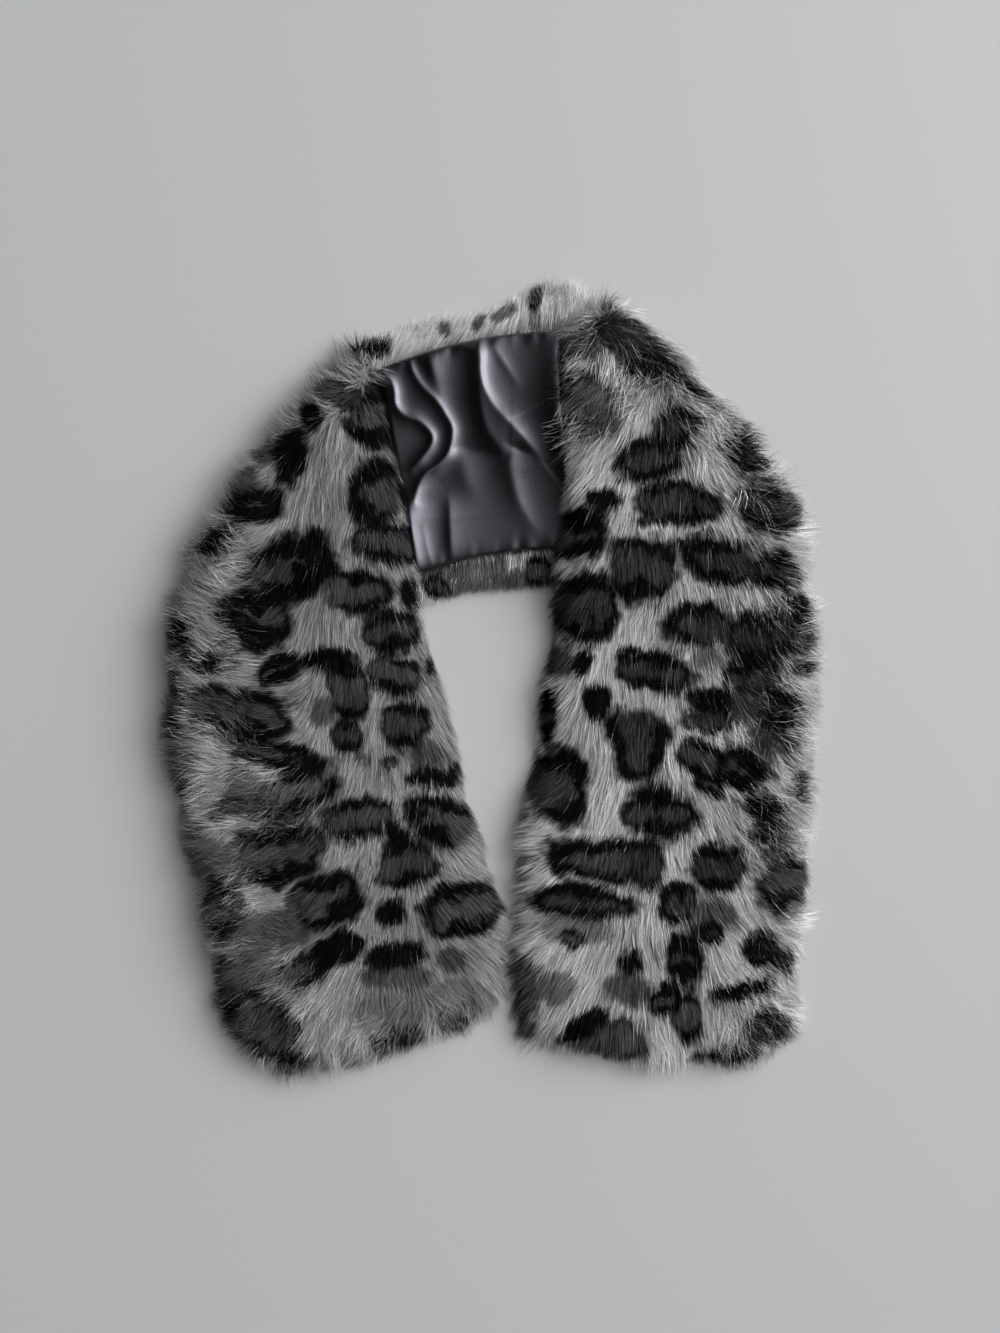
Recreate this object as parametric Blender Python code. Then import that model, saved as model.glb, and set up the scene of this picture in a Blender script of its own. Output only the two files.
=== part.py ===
"""Fur neck scarf with a satin lining, laid flat and folded into a horseshoe.

The scarf is one straight strip, fur on one side and satin on the other. Its middle lies lining
side up. At each end of that middle the strip is folded over on a diagonal, and the two arms lie
fur side up with their tails side by side. X runs to the right, Y up the page and Z up from the
floor. Sizes and tables are in millimetres and the model is in metres.
"""
import math
from collections import namedtuple

import bmesh
import bpy
import numpy as np
from mathutils import Vector, noise

MM = 0.001
COLLECTION = "fur_neck_scarf"
PLAN_CENTRE = (-0.52, -0.25)  # the middle of the outline, which the origin lies under

# Cloth and pile
SATIN_HALF = 65.7         # half the lining, seam to seam, measured up the page
LINING_WALL = 1.5         # the satin with its seam allowance
SEAM_GAP = 0.3            # between pieces that are sewn or lie together
LINING_SLACK = 2.4        # how far the loose satin stands off the pelt between its seams
SLACK_REACH = 20.0        # how far in from a seam it does
PELT_HEIGHT = 10.0        # the middle, pressed flat, fur side down
PELT_ROUND = 24.0         # how far in from an edge it reaches that height
PILE_ROUND = 27.0         # the same for the arms, whose pile stands up
UNDER_ROUND = 9.0         # how far in from an edge the underside comes down to the floor
RIM_SINGLE = 4.0          # height of the pile's widest line at a sewn edge
RIM_FOLD = 13.0           # the same at a diagonal fold, half way up the doubled strip
TUFT_SIZE = 21.0          # breadth of the soft lumps of combed pile
TUFT_SWELL = 3.0          # how far such lumps rise and sink
TUFT_SWAY = 4.5           # how far they push the outline in and out

# The middle's centre line is an arch: its height, slope and bend where it crosses ARCH_X
ARCH_X = -1.8
ARCH_Y = 141.6
ARCH_SLOPE = 0.163
ARCH_BEND = -0.00189

# The middle is tucked under the arms: x of its ends at its lower and its upper seam
NECK_LEFT_END = (-62.0, -82.0)
NECK_RIGHT_END = (51.0, 60.0)
LINING_END_INSET = 7.0

# The pile that shows past the seams of the middle
PileRow = namedtuple("PileRow", "x below above")
NECK_PILE = (
    PileRow(-88, 12, 12),
    PileRow(-68, 14, 18),
    PileRow(-40, 15, 15),
    PileRow(-12, 15, 14),
    PileRow(12, 17, 17.5),
    PileRow(30, 17, 25.5),
    PileRow(46, 16, 27.5),
    PileRow(62, 15, 15),
)

# Sections across each arm, from the diagonal fold to the hem: the plan of the outer and the inner
# edge, and the height of the pile near each
Section = namedtuple("Section", "outer_x outer_y inner_x inner_y outer_crown inner_crown")
LEFT_ARM = (
    Section(-184, 62, -74, 210, 31, 30),
    Section(-194, 34, -63, 163, 29, 33),
    Section(-197, -5, -55, 124, 24, 34),
    Section(-195, -46, -46, 73, 22, 31),
    Section(-187, -83, -36, 25, 22, 24),
    Section(-176, -125, -25, -26, 22, 22),
    Section(-169, -161, -10, -83, 22, 22),
    Section(-163, -196, 1, -128, 22, 22),
    Section(-153, -217, 5, -164, 21, 21),
    Section(-137, -240, 4, -202, 20, 20),
)
RIGHT_ARM = (
    Section(184, 112, 64, 241, 34, 33),
    Section(191, 82, 38, 200, 32, 37),
    Section(195, 46, 38, 151, 27, 37),
    Section(196, 13, 39, 109, 23, 35),
    Section(194, -23, 35, 64, 22, 28),
    Section(191, -59, 33, 19, 22, 23),
    Section(191, -95, 28, -29, 22, 22),
    Section(188, -131, 18, -79, 22, 22),
    Section(185, -167, 14, -125, 22, 22),
    Section(185, -195, 11, -167, 21, 21),
    Section(181, -225, 7, -214, 20, 20),
)
# How far the fold and the hem bulge past a straight line between their corners
Bulge = namedtuple("Bulge", "fold hem")
LEFT_BULGE = Bulge(13, 6)
RIGHT_BULGE = Bulge(8, 14)
# Corners of the arms: how far down the arm the rounding reaches, and the share of the width that
# it takes off at the hem and at the outer and inner ends of the fold
ARM_LENGTH = 400.0
CORNER_REACH = 26.0
HEM_CORNER = 0.10
FOLD_OUTER_CORNER = 0.10
FOLD_INNER_CORNER = 0.05

# The lining's folds: height (a trough is negative), half width, and the line each one follows
Fold = namedtuple("Fold", "height half_width line")
LINING_FOLDS = (
    Fold(5.2, 6.0, ((-60, 186), (-57, 168), (-48, 161), (-39, 154), (-35, 146), (-40, 138), (-48, 128))),
    Fold(5.0, 6.5, ((-50, 196), (-47, 184), (-38, 173), (-28, 164), (-23, 153), (-25, 141), (-34, 131),
                    (-41, 124), (-45, 114), (-38, 92), (-35, 72))),
    Fold(2.6, 7.0, ((-28, 201), (-27, 184), (-26, 169))),
    Fold(-3.0, 7.5, ((-17, 201), (-15, 169), (-12, 139))),
    Fold(5.4, 6.5, ((-12, 201), (-7, 184), (-3, 172), (9, 155), (23, 141), (31, 126))),
    Fold(1.8, 5.5, ((-1, 202), (5, 192), (16, 177))),
    Fold(2.2, 10.0, ((9, 136), (12, 118), (20, 97))),
    Fold(-1.6, 5.0, ((-26, 104), (-24, 70))),
)
FOLD_AT_SEAM = 0.35       # the share of a fold's height that is left where the seam holds it
FOLD_SEAM_REACH = 12.0
FOLD_CLEARANCE = 9.0      # the folds die away over this distance beside an arm that lies on them

# The hollow that each arm leaves for the middle under it: its height, how far it stands off the
# middle on every side, and how far it takes to close beyond the middle's ends
ROOF_HEIGHT = PELT_HEIGHT + LINING_WALL + 1.0
ROOF_MARGIN = 7.0
ROOF_STEP = 11.0

# Mesh fineness: grid cells across and along each piece
ARM_CELLS = (24, 36)
NECK_CELLS = (18, 24)
LINING_CELLS = (30, 34)
CURVE_SAMPLES = 60

FUR_COLOUR = (0.105, 0.103, 0.108, 1.0)
SATIN_COLOUR = (0.042, 0.035, 0.048, 1.0)


def clear_scene():
    for thing in list(bpy.data.objects):
        bpy.data.objects.remove(thing, do_unlink=True)


def material(name, colour, roughness, sheen):
    finish = bpy.data.materials.new(name)
    finish.use_nodes = True
    shader = finish.node_tree.nodes["Principled BSDF"]
    shader.inputs["Base Color"].default_value = colour
    shader.inputs["Roughness"].default_value = roughness
    shader.inputs["Metallic"].default_value = 0.0
    shader.inputs["Sheen Weight"].default_value = sheen
    finish.diffuse_color = colour
    return finish


# Curves and fields

def mix(first, second, share):
    return first + (second - first) * share


def smooth_step(value):
    """0 up to 0, 1 from 1, and a soft S between."""
    value = min(max(value, 0.0), 1.0)
    return value * value * (3.0 - 2.0 * value)


def quarter_round(depth, reach):
    """The height, from 0 to 1, of a rounded edge this far in from its rim."""
    left = 1.0 - min(max(depth / reach, 0.0), 1.0)
    return math.sqrt(1.0 - left * left)


def along(rows, fraction):
    """A smooth curve (Catmull-Rom) through evenly spaced rows of numbers."""
    last = len(rows) - 1
    place = min(max(fraction, 0.0), 1.0) * last
    start = min(int(place), last - 1)
    t = place - start
    here = rows[start]
    there = rows[start + 1]
    before = rows[start - 1] if start > 0 else 2.0 * here - there
    after = rows[start + 2] if start + 2 <= last else 2.0 * there - here
    bend = 2.0 * before - 5.0 * here + 4.0 * there - after
    twist = 3.0 * here - before - 3.0 * there + after
    return 0.5 * (2.0 * here + (there - before) * t + bend * t * t + twist * t ** 3)


def distance_to(line, x, y):
    """Distance in plan from a point to a line of points."""
    starts = line[:-1]
    steps = line[1:] - starts
    point = np.array((x, y))
    share = ((point - starts) * steps).sum(axis=1) / (steps * steps).sum(axis=1)
    nearest = starts + steps * np.clip(share, 0.0, 1.0)[:, None]
    return float(np.hypot(*(nearest - point).T).min())


def unevenness(x, y, size, layer):
    """A soft uneven field, from about -1 to 1, with lumps of this size. Layers differ."""
    return noise.noise(Vector((x / size, y / size, layer + 0.5)))


def sway(x, y):
    """A point of the plan, pushed aside by the combed tufts."""
    push_x = TUFT_SWAY * unevenness(x, y, TUFT_SIZE, 0)
    push_y = TUFT_SWAY * unevenness(x, y, TUFT_SIZE, 4)
    return x + push_x, y + push_y


def swell(x, y):
    """The rise and fall of the combed tufts."""
    fine = unevenness(x, y, TUFT_SIZE, 8)
    broad = unevenness(x, y, 2.0 * TUFT_SIZE, 12)
    return TUFT_SWELL * (fine + broad)


# A closed piece from its upper and lower surfaces

def spaced(fraction):
    """Grid lines drawn a little towards both rims, where the pile curves most."""
    return 0.5 * fraction + 0.25 * (1.0 - math.cos(math.pi * fraction))


def at_rim(u, v):
    """Whether a grid point is on the rim, where the upper and lower surfaces meet."""
    return min(u, 1.0 - u, v, 1.0 - v) < 1e-5


def slab(name, cells, surfaces, finish):
    """A piece from one grid, made twice. surfaces gives a point's x, y, upper z and lower z."""
    form = bmesh.new()
    for side in ("upper", "lower"):
        made = bmesh.ops.create_grid(form, x_segments=cells[0], y_segments=cells[1], size=0.5)
        faces = {face for vert in made["verts"] for face in vert.link_faces}
        for vert in made["verts"]:
            x, y, upper, lower = surfaces(spaced(vert.co.x + 0.5), spaced(vert.co.y + 0.5))
            z = upper if side == "upper" else lower
            vert.co = MM * Vector((x - PLAN_CENTRE[0], y - PLAN_CENTRE[1], z))
        if side == "lower":
            bmesh.ops.reverse_faces(form, faces=list(faces))
    bmesh.ops.remove_doubles(form, verts=form.verts, dist=0.001 * MM)
    bmesh.ops.triangulate(form, faces=form.faces, quad_method="SHORT_EDGE")
    bmesh.ops.recalc_face_normals(form, faces=form.faces)
    mesh = bpy.data.meshes.new(name)
    form.to_mesh(mesh)
    form.free()
    mesh.shade_smooth()
    mesh.materials.append(finish)
    piece = bpy.data.objects.new(name, mesh)
    bpy.data.collections[COLLECTION].objects.link(piece)


# The middle: its pelt, fur side down, and the satin on it

def arch(x):
    """Height up the page of the middle's centre line."""
    step = x - ARCH_X
    return ARCH_Y + ARCH_SLOPE * step + ARCH_BEND * step * step


def pile_past_seams(x):
    """The pile below and above the middle's seams, at x."""
    stations = [row.x for row in NECK_PILE]
    below = np.interp(x, stations, [row.below for row in NECK_PILE])
    above = np.interp(x, stations, [row.above for row in NECK_PILE])
    return float(below), float(above)


def neck_ends(share):
    """x of the middle's left and right ends, at a share of the way from seam to seam."""
    return mix(*NECK_LEFT_END, share), mix(*NECK_RIGHT_END, share)


def neck_edge_depth(x, y):
    """How far a point lies inside the middle's lower and upper pile."""
    below, above = pile_past_seams(x)
    offset = y - arch(x)
    return min(offset + SATIN_HALF + below, SATIN_HALF + above - offset)


def neck_end_depth(x, y):
    """How far a point lies inside the middle's tucked ends."""
    left, right = neck_ends((y - arch(x) + SATIN_HALF) / (2.0 * SATIN_HALF))
    return min(x - left, right - x)


def pelt_top(x, y):
    edge = quarter_round(neck_edge_depth(x, y), PELT_ROUND)
    end = quarter_round(neck_end_depth(x, y), LINING_END_INSET)
    return mix(RIM_SINGLE, PELT_HEIGHT, edge * end)


def neck_fur(u, v):
    """The pelt from end to end (u), and from the lower to the upper tips of its pile (v)."""
    x = mix(*neck_ends(v), u)
    below, above = pile_past_seams(x)
    y = arch(x) + mix(-SATIN_HALF - below, SATIN_HALF + above, v)
    if at_rim(u, v):
        return x, y, RIM_SINGLE, RIM_SINGLE
    edge = quarter_round(neck_edge_depth(x, y), UNDER_ROUND)
    end = quarter_round(neck_end_depth(x, y), LINING_END_INSET)
    return x, y, pelt_top(x, y), RIM_SINGLE * (1.0 - edge * end)


def fold_height(x, y):
    """What the folds and troughs of the lining add at a point."""
    total = 0.0
    for fold in LINING_FOLDS:
        corners = np.array(fold.line, dtype=float)
        steps = np.linspace(0.0, 1.0, 4 * len(corners))
        line = np.array([along(corners, step) for step in steps])
        total += fold.height * math.exp(-(distance_to(line, x, y) / fold.half_width) ** 2)
    return total


def neck_lining(u, v, arms):
    """The satin from end to end (u) and from seam to seam (v), a wall with its folds."""
    left, right = neck_ends(v)
    x = mix(left + LINING_END_INSET, right - LINING_END_INSET, u)
    y = arch(x) + mix(-SATIN_HALF, SATIN_HALF, v)
    seam = min(v, 1.0 - v) * 2.0 * SATIN_HALF
    lift = LINING_SLACK * quarter_round(seam, SLACK_REACH) + fold_height(x, y)
    held = mix(FOLD_AT_SEAM, 1.0, quarter_round(seam, FOLD_SEAM_REACH))
    free = min(x - arms[0].inner_x(y), arms[1].inner_x(y) - x)
    lift = max(lift * held * smooth_step(free / FOLD_CLEARANCE), 0.0)
    underside = pelt_top(x, y) + SEAM_GAP + lift
    if at_rim(u, v):
        middle = underside + 0.5 * LINING_WALL
        return x, y, middle, middle
    return x, y, underside + LINING_WALL, underside


def neck_roof(x, y):
    """Height of the hollow under the arms, which clears the middle on every side."""
    edge = quarter_round(neck_edge_depth(x, y) + ROOF_MARGIN, PELT_ROUND)
    end = smooth_step((neck_end_depth(x, y) + ROOF_MARGIN + ROOF_STEP) / ROOF_STEP)
    return ROOF_HEIGHT * edge * end


# The arms

class Arm:
    """One end of the strip, fur side up, from its diagonal fold to its hem.

    u runs across the arm from its outer edge to its inner one, and v down it from the fold.
    """

    def __init__(self, sections, bulge):
        self.rows = np.array(sections, dtype=float)
        self.bulge = bulge
        self.past_fold = self.outward(0, 1)
        self.past_hem = self.outward(-1, -2)
        steps = np.linspace(0.0, 1.0, CURVE_SAMPLES)
        self.inner_edge = np.array([self.plan(1.0, v) for v in steps])
        self.fold_edge = np.array([self.plan(u, 0.0) for u in steps])
        outer_edge = np.array([self.plan(0.0, v) for v in steps])
        hem_edge = np.array([self.plan(u, 1.0) for u in steps])
        self.edges = (outer_edge, self.inner_edge, self.fold_edge, hem_edge)

    def outward(self, end, next_in):
        """The direction square to an end section that leads out of the arm."""
        row = self.rows[end]
        across = row[2:4] - row[0:2]
        square = np.array((across[1], -across[0])) / np.hypot(*across)
        inward = (self.rows[next_in] - row)[0:2]
        return square if np.dot(square, inward) < 0.0 else -square

    def plan(self, u, v):
        hem = 1.0 - quarter_round((1.0 - v) * ARM_LENGTH, CORNER_REACH)
        fold = 1.0 - quarter_round(v * ARM_LENGTH, CORNER_REACH)
        outer_cut = HEM_CORNER * hem + FOLD_OUTER_CORNER * fold
        inner_cut = HEM_CORNER * hem + FOLD_INNER_CORNER * fold
        across = mix(outer_cut, 1.0 - inner_cut, u)
        row = along(self.rows, v)
        belly = 4.0 * across * (1.0 - across)
        place = mix(row[0:2], row[2:4], across)
        place = place + self.past_fold * self.bulge.fold * belly * (1.0 - v) ** 4
        place = place + self.past_hem * self.bulge.hem * belly * v ** 4
        return sway(*place)

    def inner_x(self, y):
        """x of the inner edge at a height up the page."""
        upward = self.inner_edge[np.argsort(self.inner_edge[:, 1])]
        return float(np.interp(y, upward[:, 1], upward[:, 0]))

    def surfaces(self, u, v):
        x, y = self.plan(u, v)
        row = along(self.rows, v)
        floor = neck_roof(x, y)
        doubled = smooth_step(1.0 - distance_to(self.fold_edge, x, y) / PILE_ROUND)
        rim = floor + mix(RIM_SINGLE, RIM_FOLD, doubled * (1.0 - smooth_step(floor)))
        if at_rim(u, v):
            return x, y, rim, rim
        depths = [distance_to(edge, x, y) for edge in self.edges]
        crown = mix(row[4], row[5], u) + swell(x, y)
        full = math.prod(quarter_round(depth, PILE_ROUND) for depth in depths)
        under = math.prod(quarter_round(depth, UNDER_ROUND) for depth in depths)
        return x, y, rim + max(crown - rim, 0.0) * full, mix(rim, floor, under)


def build():
    clear_scene()
    collection = bpy.data.collections.new(COLLECTION)
    bpy.context.scene.collection.children.link(collection)
    fur = material("spotted_fur", FUR_COLOUR, 0.9, 0.3)
    satin = material("lining_satin", SATIN_COLOUR, 0.32, 0.2)

    left_arm = Arm(LEFT_ARM, LEFT_BULGE)
    right_arm = Arm(RIGHT_ARM, RIGHT_BULGE)
    arms = (left_arm, right_arm)
    slab("left_arm_fur", ARM_CELLS, left_arm.surfaces, fur)
    slab("right_arm_fur", ARM_CELLS, right_arm.surfaces, fur)
    slab("neck_fur", NECK_CELLS, neck_fur, fur)
    slab("neck_lining", LINING_CELLS, lambda u, v: neck_lining(u, v, arms), satin)


build()
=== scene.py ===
"""The looks of a long-haired fur neck scarf with a satin lining, laid flat in a horseshoe.

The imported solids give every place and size. The arms and the middle become pelts with long
printed hair on them, and the lining becomes a thin satin shell. Charts are in millimetres.
"""
import math
from collections import namedtuple

import bmesh
import bpy
import numpy as np
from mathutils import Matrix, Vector, kdtree, noise


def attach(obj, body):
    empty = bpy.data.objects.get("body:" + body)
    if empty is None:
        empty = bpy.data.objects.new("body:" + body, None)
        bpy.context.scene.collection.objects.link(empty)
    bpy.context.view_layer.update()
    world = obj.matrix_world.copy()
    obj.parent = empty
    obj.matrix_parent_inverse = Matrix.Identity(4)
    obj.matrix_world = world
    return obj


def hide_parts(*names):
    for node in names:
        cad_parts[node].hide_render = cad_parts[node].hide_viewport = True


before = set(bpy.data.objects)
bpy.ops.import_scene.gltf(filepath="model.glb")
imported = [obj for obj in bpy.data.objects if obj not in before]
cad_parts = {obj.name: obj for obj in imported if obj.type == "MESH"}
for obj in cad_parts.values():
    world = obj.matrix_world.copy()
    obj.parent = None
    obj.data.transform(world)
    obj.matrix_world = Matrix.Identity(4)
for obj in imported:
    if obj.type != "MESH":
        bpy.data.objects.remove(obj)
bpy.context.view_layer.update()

# The print. A grey snow-leopard pattern is dyed into the tips of the hair: rings broken into
# black arcs with a charcoal heart, and small solid spots, on warm grey. ring is a ring's thickness
# as a share of its radius, heavy the side on which it is thickest, and fill how dyed its heart is.
MM = 0.001
SOLID = 4.0               # a ring this thick is black all through
Marking = namedtuple("Marking", "x y half_width half_height turn ring fill heavy",
                     defaults=(1, (0, 0)))
# A row of a chart is a Marking's values, its turn in degrees
# The rows at x of -160 and below darken the arm's outer edge: partly print, partly painted shade
# where the hair drops away from the light.
LEFT_MARKINGS = (
    (-79, 203, 7, 5, 0, SOLID, 0.95),
    (-68, 202, 6, 7, 0, SOLID, 0.95),
    (-89, 171, 14, 7, -20, 0.2),
    (-67, 173, 9, 6, -20, 0.6),
    (-67, 157, 21, 18, 0, 0.4, 0.94, (0.1, -1)),
    (-108, 158, 7, 9, 0, SOLID),
    (-120, 134, 11, 17, -10, SOLID),
    (-137, 138, 9, 9, 30, 0, 0.93),
    (-152, 117, 13, 8, 30, 0, 0.93),
    (-142, 105, 20, 11, 6, 1.6),
    (-166, 84, 13, 9, 45, SOLID, 0.95),
    (-71, 112, 14, 21, -8, 0.55, 1, (-0.8, -0.1)),
    (-62, 82, 21, 11, -3, 0.5, 1, (0, -0.5)),
    (-117, 68, 25, 20, 12, 1.0, 1, (0.3, 0.3)),
    (-140, 37, 22, 17, 0, 1.0, 1, (-0.3, 0)),
    (-80, 52, 20, 15, 8, 0.36, 0.95, (0.6, 0)),
    (-48, 52, 7, 10, 12, SOLID),
    (-60, 29, 16, 12, 8, 0.5, 1, (0.1, -0.2)),
    (-58, 3, 16, 11, -25, 0.4, 0.95, (0, -0.9)),
    (-36, 8, 4, 6, 0, SOLID),
    (-98, 13, 16, 7, 8, SOLID),
    (-86, -6, 12, 18, 5, 0.42, 1, (0.3, 0.3)),
    (-87, -34, 8, 10, 0, 0.5, 1, (0, -0.9)),
    (-127, 8, 15, 9, 20, 1.2),
    (-102, -20, 6, 8, 0, 0, 0.85),
    (-147, -19, 29, 15, -5, 0.5, 1, (0, -0.2)),
    (-169, 11, 10, 7, 0, SOLID),
    (-188, 29, 8, 13, 0, SOLID),
    (-194, -12, 9, 20, 0, 0.5),
    (-122, -46, 27, 9, -14, 1.0, 0.95, (0.3, 0)),
    (-119, -69, 25, 13, 24, 0.36, 0.86, (0.2, -1)),
    (-150, -76, 18, 7, 0, 0.4, 0.96),
    (-150, -63, 13, 9, -10, 0, 0.85),
    (-190, -58, 8, 28, 0, 0, 0.95),
    (-81, -83, 22, 13, 0, 0.42, 1, (0, 0.1)),
    (-56, -93, 9, 6, -20, SOLID),
    (-36, -58, 17, 6, 3, SOLID),
    (-20, -54, 7, 5, 0, SOLID),
    (-38, -46, 12, 9, 0, 0, 0.92),
    (-52, -27, 15, 14, 0, 0.42, 1, (0.1, 0.2)),
    (-62, -48, 6, 4, 0, 0.5, 0.95),
    (-78, -48, 5, 4, 0, 0, 0.88),
    (-30, -84, 21, 14, -18, 0.46, 0.92, (-0.9, 0.4)),
    (-127, -104, 27, 17, 8, 0.42, 1, (0, 0.5)),
    (-173, -106, 14, 14, 0, 0, 0.88),
    (-52, -110, 17, 15, 8, 0.42, 1, (0, -0.2)),
    (-97, -130, 23, 16, 18, 0.5, 1, (0.5, 0.2)),
    (-130, -149, 24, 12, 5, 0, 0.93),
    (-144, -174, 18, 12, 20, 0, 0.82),
    (-60, -138, 9, 7, -5, SOLID),
    (-18, -137, 22, 15, 8, 0.42, 0.95, (-0.2, 0)),
    (-95, -162, 17, 11, 28, SOLID),
    (-112, -173, 14, 9, 18, 0.5, 0.95),
    (-58, -165, 20, 9, 8, SOLID),
    (-58, -177, 19, 7, 0, 0, 0.92),
    (-24, -167, 9, 7, -20, 0, 0.93),
    (-40, -194, 36, 12, 5, 0, 0.55),
    (-22, -206, 8, 5, 0, 0.4, 0.95),
    (-57, -215, 15, 6, 5, 0.5),
    (-162, -135, 12, 18, 8, 0.6, 0.95),
    (-160, -182, 10, 20, 10, 0.3, 0.95),
    (-141, -205, 26, 19, -28, 0.35, 0.98, (0.2, 0.3)),
    (-120, -228, 12, 7, 10, SOLID),
)
RIGHT_MARKINGS = (
    (84, 202, 22, 12, -38, 0.15, 0.97),
    (95, 186, 20, 9, -8, 1.0),
    (73, 208, 13, 9, -35, 0, 0.93),
    (58, 198, 20, 9, 0, 0, 0.9),
    (123, 174, 9, 5, -28, SOLID),
    (56, 166, 18, 14, 0, 0.15, 0.92, (0, 0.4)),
    (65, 151, 12, 7, 10, 0, 0.95),
    # These two narrow rows blacken the arm's inner edge beside the satin, which faces away from
    # the light: partly print, partly painted shade.
    (37, 182, 6, 22, 0, 1.0),
    (38, 134, 5, 22, 0, 0.8),
    (109, 149, 14, 14, 0, 0.5, 1, (0.3, 0.4)),
    (93, 131, 20, 13, 14, 0.45, 1, (-0.2, -0.6)),
    (151, 134, 14, 12, 25, 0.9, 1, (-0.4, 0)),
    (158, 146, 11, 8, -35, 0, 0.93),
    (66, 107, 10, 7, 8, SOLID),
    (112, 105, 25, 14, 0, 0.42),
    (167, 104, 21, 15, -15, 0.5, 1, (0, 0.2)),
    (52, 86, 18, 15, 0, 0.6, 1, (0.6, 0.2)),
    (90, 66, 20, 19, 0, 0.4, 1, (0.2, -0.1)),
    (111, 80, 8, 5, 0, SOLID),
    (136, 71, 21, 14, -6, 0.42, 1, (-0.6, 0)),
    (168, 66, 14, 13, 0, 0.5, 0.95),
    (183, 43, 9, 9, 0, SOLID),
    (55, 44, 20, 20, 0, 0.36, 1, (0.5, 0)),
    (121, 34, 21, 13, 4, 0.45, 1, (-0.2, 0.5)),
    (166, 26, 26, 14, 0, 0.5),
    (98, 6, 22, 13, -6, 0.5, 1, (0.1, 0.4)),
    (154, 4, 18, 11, 0, 0.5, 1, (0, 0.4)),
    (187, 7, 9, 4, 10, SOLID),
    (129, 13, 8, 7, 0, 0, 0.72),
    (55, 11, 5, 9, -20, SOLID),
    (42, 12, 10, 9, 0, 0, 0.96),
    (63, -13, 9, 10, 0, SOLID),
    (131, -11, 15, 8, -6, SOLID),
    (152, -14, 10, 12, 0, 0, 0.9),
    (130, -24, 16, 8, 0, 0.3),
    (170, -18, 14, 13, -20, 0.7, 1, (0.3, 0.2)),
    (170, -36, 14, 10, -20, 0, 0.96),
    (34, -22, 5, 17, 0, 0.6),
    (87, -37, 21, 17, -90, 0.4, 1, (0.7, 0)),
    (40, -63, 18, 22, 0, 0.42, 1, (0.9, 0)),
    (126, -48, 14, 10, -25, 0.4, 0.97),
    (149, -51, 17, 12, -15, 1.0),
    (131, -62, 11, 7, -30, 0.8, 0.95),
    (186, -63, 7, 9, 0, 0.8),
    (100, -80, 20, 17, 0, 0.46, 1, (0.2, 0.1)),
    (161, -75, 14, 9, 0, SOLID),
    (164, -89, 10, 9, -20, 1.2),
    (60, -106, 30, 13, -3, 0.5, 0.96, (-0.4, 0.4)),
    (93, -110, 11, 13, 0, 0.3, 1, (0, 0.4)),
    (135, -113, 16, 15, 0, 0.42, 1, (0, -0.1)),
    (176, -119, 16, 18, -6, 0.38, 0.93, (0, 0.2)),
    (55, -132, 27, 10, -4, 0.8, 0.97, (0, 1)),
    (50, -148, 20, 8, 0, 0, 0.7),
    (48, -154, 8, 6, 0, 0.5, 0.97),
    (110, -133, 12, 13, 0, 0.5, 1, (-0.7, 0.4)),
    (130, -141, 16, 9, 5, 0, 0.88),
    (129, -151, 10, 6, 0, 0.8, 0.97),
    (83, -169, 9, 7, 10, SOLID),
    (81, -185, 13, 9, 0, 0, 0.88),
    (115, -168, 11, 17, -5, 0.9),
    (104, -191, 11, 10, 0, 0.6, 0.96),
    (118, -201, 9, 15, 10, 0.4, 0.94),
    (38, -184, 10, 9, 0, 0, 0.75),
    (17, -184, 12, 18, 0, 0, 0.92),
    (14, -211, 12, 9, 0, 0, 0.92),
    (55, -207, 16, 7, 35, SOLID),
    (72, -216, 22, 13, 0, 0.15, 0.97),
    (162, -161, 10, 15, 28, 1.2),
    (178, -168, 5, 9, 0, 0.8),
    (150, -185, 18, 5, 8, SOLID),
    (166, -210, 14, 11, 20, 0.5, 0.97, (0.3, -0.3)),
    (139, -227, 21, 6, 4, SOLID),
)
NECK_MARKINGS = (
    (-29, 213, 4, 4, 0, 0, 0.96),
    (-8, 217, 3, 6, -30, 0, 0.97),
    (7, 223, 8, 4, 30, 0, 0.85),
    (25, 231, 4, 9, -12, 0.5, 0.92),
    (25, 217, 4, 7, 0, 0, 0.7),
    (-73, 203, 11, 8, 0, SOLID),
    # The rows from here on darken the band below the lining: partly the fur's own darker tone,
    # partly painted shade, as that band lies in shade.
    (-33, 56, 9, 6, 0, 0.6),
    (-30, 65, 13, 9, 10, 0, 0.94),
    (-11, 65, 12, 9, 5, 0, 0.84),
    (4, 66, 6, 11, 0, 0, 0.92),
    (16, 61, 8, 8, 0, 0, 0.98),
    (16, 74, 7, 6, 0, 0, 0.86),
    (29, 66, 10, 11, 0, 0.4),
    (39, 67, 5, 9, 0, 0, 0.93),
    (-9, 54, 20, 5, 0, 0, 0.93),
)
RING_SIDES = 0.42         # thickness of a ring at its sides, as a share of ring
RING_TOP = 1.25           # what is added to that at its top and bottom
RING_HEAVY = 0.7          # and on the side that heavy points to
SQUARENESS = 2.3          # 2 is an ellipse, and more is squarer
RING_FADE = 0.12          # how softly its black ends towards the heart
RING_GROWTH = 1.05        # how much wider the dyed hair draws a ring
RING_WAVES = 1.5          # and how unevenly
DYE_REACH = 1.2           # where a marking's dye ends, in its own radii
DYE_FADE = 0.28           # and how softly
HEART_FILL = 0.98         # a marking's heart is a little less dyed than its rim
BROAD_WAVES = (42.0, 1.0)     # scale and strength of the waves in a marking's outline
FINE_WAVES = (130.0, 0.5)
BLACK = (0.0009, 0.0011, 0.0021)
Dye = namedtuple("Dye", "ground charcoal")
# The left arm's ground is darker than the right arm's, and its charcoal lighter.
LEFT_DYE = Dye((0.37, 0.363, 0.357), (0.047, 0.043, 0.045))
RIGHT_DYE = Dye((0.57, 0.565, 0.56), (0.0135, 0.0127, 0.0148))
NECK_DYE = Dye((0.68, 0.68, 0.67), (0.050, 0.048, 0.048))


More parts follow.
